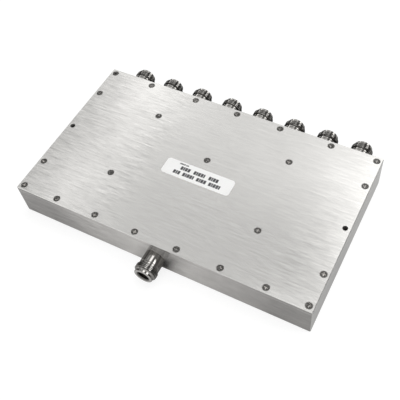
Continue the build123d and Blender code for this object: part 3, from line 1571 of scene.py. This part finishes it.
@dataclass(frozen=True)
class Viewpoint:
    """Where the picture is taken from, solved from the box's edges and its pattern of holes."""

    place: Triple = (0.15693, -0.21957, 0.37998)
    turn_deg: Triple = (35.101, 3.902, 27.3)
    lens_mm: float = 57.6
    sensor_mm: float = 36.0
    shift: Point = (-0.04972, -0.01393)

    def build(self) -> None:
        """Adds the camera and makes it the scene's own."""
        data = bpy.data.cameras.new("camera")
        data.lens = self.lens_mm
        data.sensor_width = self.sensor_mm
        data.shift_x, data.shift_y = self.shift
        camera = add_object("camera", data)
        camera.location = self.place
        camera.rotation_euler = [math.radians(angle) for angle in self.turn_deg]
        bpy.context.scene.camera = camera


@dataclass(frozen=True)
class SoftLamp:
    """A square area lamp that points at the middle of the box."""

    name: str
    place: Triple
    size: float
    power: float

    def build(self) -> None:
        """Adds the lamp. Metal mirrors the light tent instead of the lamp itself."""
        data = bpy.data.lights.new(self.name, "AREA")
        data.shape = "SQUARE"
        data.size = self.size
        data.energy = self.power
        lamp = add_object(self.name, data)
        lamp.location = self.place
        lamp.rotation_euler = (-Vector(self.place)).to_track_quat("-Z", "Y").to_euler()
        lamp.visible_glossy = False


@dataclass(frozen=True)
class Panel:
    """A soft-edged panel of the tent, laid over the panels before it.

    Its angles are in degrees from the right horizon over the top, its reach is along Y.
    """

    angles: Point
    reach: Point
    level: float
    soft_deg: float = 3.0
    soft_reach: float = 0.1

    def share(self, angle: float, along: float) -> float:
        """How much of the panel shows at a place of the tent.

        Args:
            angle: the place's angle in degrees.
            along: its place along Y.

        Returns:
            A share from 0 to 1.
        """
        share = 1.0
        for inside, softness in (
            (angle - self.angles[0], self.soft_deg),
            (self.angles[1] - angle, self.soft_deg),
            (along - self.reach[0], self.soft_reach),
            (self.reach[1] - along, self.soft_reach),
        ):
            share *= min(max(0.5 + inside / softness, 0.0), 1.0)
        return share


@dataclass(frozen=True)
class Tent:
    """An arch of panels along Y that only reflections see. At level 0 it is clear."""

    name: str
    radius: float
    level: float
    panels: tuple[Panel, ...]
    span: Point = (-3.4, 3.4)
    steps: tuple[int, int] = (180, 136)
    second_look: float = 0.35

    def brightness(self, angle: float, along: float) -> float:
        """The brightness at a place, with every panel laid on.

        Args:
            angle: the place's angle in degrees.
            along: its place along Y.

        Returns:
            The brightness, where 1 is white.
        """
        level = self.level
        for panel in self.panels:
            level += panel.share(angle, along) * (panel.level - level)
        return level

    def material(self) -> Material:
        """Light that follows the brightness kept at the points, fainter when mirrored twice.

        Returns:
            The material.
        """
        surface = Surface(f"{self.name}_panels")
        graph = surface.graph
        kept = graph.add("ShaderNodeAttribute", attribute_name=BRIGHTNESS)
        depth = graph.add("ShaderNodeLightPath").outputs["Glossy Depth"]
        light = graph.add("ShaderNodeEmission")
        graph.feed(light.inputs["Color"], kept.outputs["Color"])
        again = graph.spread(depth, (1.0, 2.0), (1.0, self.second_look))
        graph.feed(light.inputs["Strength"], again)
        both = graph.add("ShaderNodeAddShader")
        graph.feed(both.inputs[0], light.outputs[0])
        if self.level == 0.0:
            graph.feed(both.inputs[1], graph.add("ShaderNodeBsdfTransparent").outputs[0])
        surface.show(both.outputs[0])
        surface.material.node_tree.nodes.remove(surface.shader)
        return surface.material

    def build(self) -> Piece:
        """Adds the arch, without the places that are dark.

        Returns:
            The arch.
        """
        points, levels, faces = [], [], []
        steps_round, steps_along = self.steps
        row = steps_along + 1
        for i in range(steps_round + 1):
            angle = 180.0 * i / steps_round
            x = self.radius * math.cos(math.radians(angle))
            z = self.radius * math.sin(math.radians(angle))
            for j in range(row):
                y = self.span[0] + (self.span[1] - self.span[0]) * j / steps_along
                points.append((x, y, z))
                levels.append(self.brightness(angle, y))
        for i in range(steps_round):
            for j in range(steps_along):
                first = i * row + j
                corners = (first, first + 1, first + row + 1, first + row)
                if any(levels[corner] for corner in corners):
                    faces.append(corners)
        mesh = bpy.data.meshes.new(self.name)
        mesh.from_pydata(points, [], faces)
        kept = mesh.color_attributes.new(BRIGHTNESS, "FLOAT_COLOR", "POINT")
        colours = ((level, level, level, 1.0) for level in levels)
        kept.data.foreach_set("color", [part for colour in colours for part in colour])
        tent = new_piece(self.name, mesh, self.material())
        for kind in ("camera", "diffuse", "shadow", "volume_scatter"):
            setattr(tent, f"visible_{kind}", False)
        return tent


@dataclass(frozen=True)
class Floor:
    """A pale floor that looks white and keeps the box's shadow. Its underside can be seen through.

    Mirrored rays see painted shadow towards the box, below the front jack and along the back jacks.
    """

    half: float = 6.0
    drop: float = 0.15 * MM
    colour: Colour = (0.28, 0.28, 0.28)
    roughness: float = 0.9
    glow: Point = (0.79, 0.93)
    glow_span: Point = (0.25, 1.2)
    mirrored: Point = (0.42, 1.0)
    mirrored_span: Point = (0.0, 0.12)
    foot_core: Point = (5.5 * MM, 11.5 * MM)
    foot_rim: Point = (11.5 * MM, 22.0 * MM)
    core_share: float = 0.58
    foot_reach: Point = (7.0 * MM, 15.0 * MM)
    jack_strip: Point = (26.0 * MM, 52.0 * MM)
    strip_light: Point = (0.2, 1.0)
    strip_end: Point = (-10.0 * MM, 0.0)
    second_look: float = 0.35

    def rays(self, graph: Graph) -> Socket:
        """How white each ray sees the floor.

        Args:
            graph: the material's nodes.

        Returns:
            One for rays from the camera or through glass, less for mirrored ones: painted shadow.
        """
        low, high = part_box("housing")
        place = graph.places()
        aside = graph.size(place, Way.X)
        outside_x = graph.less(aside, high.x)
        outside_y = graph.less(graph.size(place, Way.Y), high.y)
        # Painted shadow for mirrored rays: darker near the box, most under the front jack and
        # behind the back jacks.
        painted_shadow_near_box = graph.spread(graph.largest(outside_x, outside_y), self.mirrored_span, self.mirrored)
        painted_shadow_under_jack = graph.largest(
            graph.plus(
                graph.spread(aside, self.foot_core, (0.0, self.core_share)),
                graph.spread(aside, self.foot_rim, (0.0, 1.0 - self.core_share)),
            ),
            graph.spread(graph.distance(place, Way.Y, low.y), self.foot_reach),
        )
        painted_shadow_behind = graph.largest(
            graph.spread(graph.distance(place, Way.Y, high.y), self.jack_strip, self.strip_light),
            graph.spread(outside_x, self.strip_end),
        )
        path = graph.add("ShaderNodeLightPath").outputs
        again = graph.spread(path["Glossy Depth"], (1.0, 2.0), (1.0, self.second_look))
        mirrored = graph.times(path["Is Glossy Ray"], painted_shadow_near_box, painted_shadow_under_jack, painted_shadow_behind, again)
        return graph.largest(path["Is Camera Ray"], mirrored, path["Is Transmission Ray"])

    def material(self) -> Material:
        """The floor's finish.

        Returns:
            The material.
        """
        surface = Surface("floor_white")
        graph = surface.graph
        rays = self.rays(graph)
        direct = graph.less(1.0, graph.add("ShaderNodeLightPath").outputs["Is Glossy Ray"])
        glow = graph.spread(graph.radius(graph.places()), self.glow_span, self.glow)
        # Mirrored rays see the floor's colour and glow darkened by the painted shadow.
        surface.set(
            Base_Color=graph.shade(self.colour, graph.largest(direct, rays)),
            Roughness=self.roughness,
            Specular_IOR_Level=0.0,
            Emission_Color=WHITE,
            Emission_Strength=graph.times(rays, glow),
        )
        below = graph.add("ShaderNodeNewGeometry").outputs["Backfacing"]
        clear = graph.add("ShaderNodeBsdfTransparent").outputs[0]
        surface.show(graph.mix_light(below, surface.shader.outputs[0], clear))
        return surface.material

    def build(self) -> None:
        """Adds the floor just below the box."""
        mesh = bpy.data.meshes.new("floor")
        signs = ((-1, -1), (1, -1), (1, 1), (-1, 1))
        corners = [(x * self.half, y * self.half, -self.drop) for x, y in signs]
        mesh.from_pydata(corners, [], [(0, 1, 2, 3)])
        new_piece("floor", mesh, self.material())


@dataclass
class Studio:
    """A white room: floor, background, lamps, and an arched tent that only reflections see."""

    floor: Floor = field(default_factory=Floor)
    world_level: float = 0.50
    tent_radius: float = 1.6
    tent_level: float = 0.45
    panels: tuple[Panel, ...] = (
        Panel((20.0, 42.0), (-9.0, 9.0), 1.1, 6.0),
        Panel((138.0, 160.0), (-9.0, 9.0), 1.1, 6.0),
        Panel((70.0, 110.0), (-9.0, 9.0), 0.9, 12.0),
        Panel((-9.0, 60.0), (-1.0, 1.48), 0.08),
        Panel((148.0, 189.0), (-1.0, 1.48), 0.05),
        Panel((-9.0, 60.0), (-0.35, 0.25), 0.55),
        Panel((148.0, 189.0), (-0.35, 0.25), 0.55),
        Panel((-9.0, 144.0), (0.42, 1.48), 0.12),
        Panel((96.0, 134.0), (0.42, 1.48), 0.59, 5.0),
        Panel((96.0, 134.0), (1.02, 1.48), 0.95, 5.0, 0.5),
        Panel((94.0, 104.0), (0.42, 0.84), 0.33, 5.0),
        Panel((122.6, 125.6), (0.42, 1.48), 1.45, 1.2),
        Panel((122.6, 125.6), (0.42, 0.62), 1.85, 1.2),
        Panel((122.6, 125.6), (0.98, 1.48), 2.10, 1.2, 0.3),
        Panel((80.0, 94.0), (0.75, 1.48), 1.80, 3.0),
        Panel((33.0, 55.0), (1.10, 1.44), 1.35, 6.0),
        Panel((80.0, 99.0), (1.08, 1.30), 1.75, 5.0),
        Panel((139.0, 156.0), (1.08, 1.44), 1.35, 4.0),
        Panel((79.0, 100.0), (0.40, 0.62), 1.4, 4.0, 0.04),
        Panel((33.0, 55.0), (0.38, 0.66), 1.0, 6.0, 0.05),
        Panel((33.0, 55.0), (-0.76, -0.54), 1.3, 6.0, 0.05),
    )
    card_radius: float = 1.58
    jack_cards: tuple[Panel, ...] = (
        Panel((79.0, 100.0), (0.40, 0.56), 3.0, 4.0, 0.04),
        Panel((33.0, 55.0), (0.38, 0.66), 3.4, 6.0, 0.05),
        Panel((33.0, 55.0), (0.95, 1.48), 2.2, 6.0),
        Panel((139.0, 156.0), (1.08, 1.44), 1.9, 4.0),
    )
    lamps: tuple[SoftLamp, ...] = (
        SoftLamp("top_lamp", (0.25, 0.45, 1.6), 1.2, 11.0),
        SoftLamp("right_lamp", (1.5, 0.3, 0.7), 0.9, 8.0),
        SoftLamp("front_lamp", (-0.35, -1.5, 0.5), 0.8, 9.0),
    )

    def build_world(self) -> None:
        """Makes a soft pale sky that the camera, mirrors and glass see as plain white."""
        world = bpy.data.worlds.new("white_room")
        world.use_nodes = True
        world.node_tree.nodes.clear()
        graph = Graph(world.node_tree)
        path = graph.add("ShaderNodeLightPath").outputs
        names = ("Is Camera Ray", "Is Glossy Ray", "Is Transmission Ray")
        white_rays = graph.largest(*(path[name] for name in names))
        skies = []
        for strength in (self.world_level, 1.0):
            sky = graph.add("ShaderNodeBackground")
            graph.feed(sky.inputs["Color"], WHITE)
            graph.feed(sky.inputs["Strength"], strength)
            skies.append(sky.outputs[0])
        output = graph.add("ShaderNodeOutputWorld")
        graph.feed(output.inputs["Surface"], graph.mix_light(white_rays, *skies))
        bpy.context.scene.world = world

    def build(self) -> None:
        """Builds the room and its light."""
        bpy.context.scene.view_settings.view_transform = "Standard"
        self.build_world()
        self.floor.build()
        Tent("tent", self.tent_radius, self.tent_level, self.panels).build()
        for lamp in self.lamps:
            lamp.build()

    def build_cards(self, jacks: Iterable[Piece]) -> None:
        """Adds bright cards that only the jacks mirror, so the broad faces stay below white.

        Args:
            jacks: the jacks' bodies.
        """
        cards = Tent("jack_cards", self.card_radius, 0.0, self.jack_cards).build()
        receivers = bpy.data.collections.new("polished_jacks")
        for body in jacks:
            receivers.objects.link(body)
        cards.light_linking.receiver_collection = receivers


def make_finishes(effects: Effects) -> Finishes:
    """Makes every finish.

    Args:
        effects: the shared effects.

    Returns:
        The materials, by the record's slot names or, for the box and its screws, by node names.
    """
    cover_screw_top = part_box("cover_screws")[1].z
    board_screw_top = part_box("board_screws")[1].z
    finishes = {
        "housing": BrushedAluminium("housing_aluminium", face=(0.50, 0.49, 0.48)),
        "cover": BrushedAluminium("cover_aluminium"),
        "cover_screws": ScrewSteel("cover_screw_steel", cover_screw_top),
        "board_screws": ScrewSteel("board_screw_steel", board_screw_top),
        "jack_plating": NickelPlate(),
        "insulator_white": TurnedPtfe(),
        "contact_plating": ContactPlate(),
        "circuit_laminate": GlassLaminate(),
        "circuit_copper": EtchedCopper(),
        "resistor_ceramic": ChipCeramic(),
    }
    return {name: finish.build(effects) for name, finish in finishes.items()}


def main() -> None:
    """Builds the camera, the studio and each sub-assembly in order."""
    logging.basicConfig(level=logging.INFO, format="%(message)s")
    Viewpoint().build()
    studio = Studio()
    studio.build()
    effects = Effects()
    finishes = make_finishes(effects)
    Enclosure().dress(finishes)
    DividerCircuit().dress(finishes)
    studio.build_cards(JackSet().build(finishes))
    Label().build(LabelPaper().build(effects), PrintInk().build(effects))


if __name__ == "__main__":
    main()
